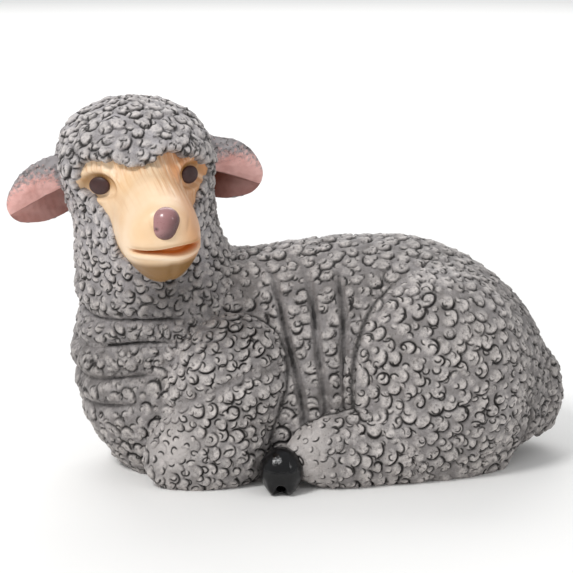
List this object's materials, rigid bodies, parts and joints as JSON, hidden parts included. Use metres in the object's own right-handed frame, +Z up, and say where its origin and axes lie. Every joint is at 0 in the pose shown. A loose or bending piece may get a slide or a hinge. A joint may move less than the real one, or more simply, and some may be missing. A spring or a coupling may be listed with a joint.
{
  "type": "sheep figurine",
  "caption": "Lying sheep garden ornament with curly grey fleece, head turned to its left, drooping ears, cream face and black hooves, for resting on the ground.",
  "frame": {"origin": "on the ground under the middle of the torso, in the plane of the resting face", "axes": "+Z up, +X from the chest to the tail along the body, -Y to the sheep's left, the side its head is turned to"},
  "size_m": [0.4254, 0.2464, 0.2812],
  "materials": {
    "fleece": "matt painted cast resin, grey with a dark wash in the grooves",
    "face": "matt cream paint with ochre shading",
    "nose": "glossy mauve brown paint",
    "eye": "satin dark brown paint",
    "ear": "matt pink and brown paint, grey at the rim",
    "hoof": "glossy black paint",
    "base": "bare cast resin",
    "dowel": "plain beech rod",
    "pin": "plain drawn wire"
  },
  "bodies": {
    "root": {"torso_left_shell": "fleece", "torso_right_shell": "fleece", "base_plate": "base", "head_shell": "fleece", "face_casting": "face", "nose_pad": "nose", "left_eye": "eye", "right_eye": "eye", "left_ear": "ear", "right_ear": "ear", "left_ear_pin": "pin", "right_ear_pin": "pin", "left_foreleg": "fleece", "right_foreleg": "fleece", "left_hind_leg": "fleece", "right_hind_leg": "fleece", "left_hind_hoof": "hoof", "right_hind_hoof": "hoof", "tail": "fleece", "neck_dowels": "dowel", "foreleg_dowels": "dowel", "hind_leg_dowels": "dowel", "tail_dowel": "dowel", "left_hoof_pin": "pin", "right_hoof_pin": "pin"}
  },
  "joints": []
}
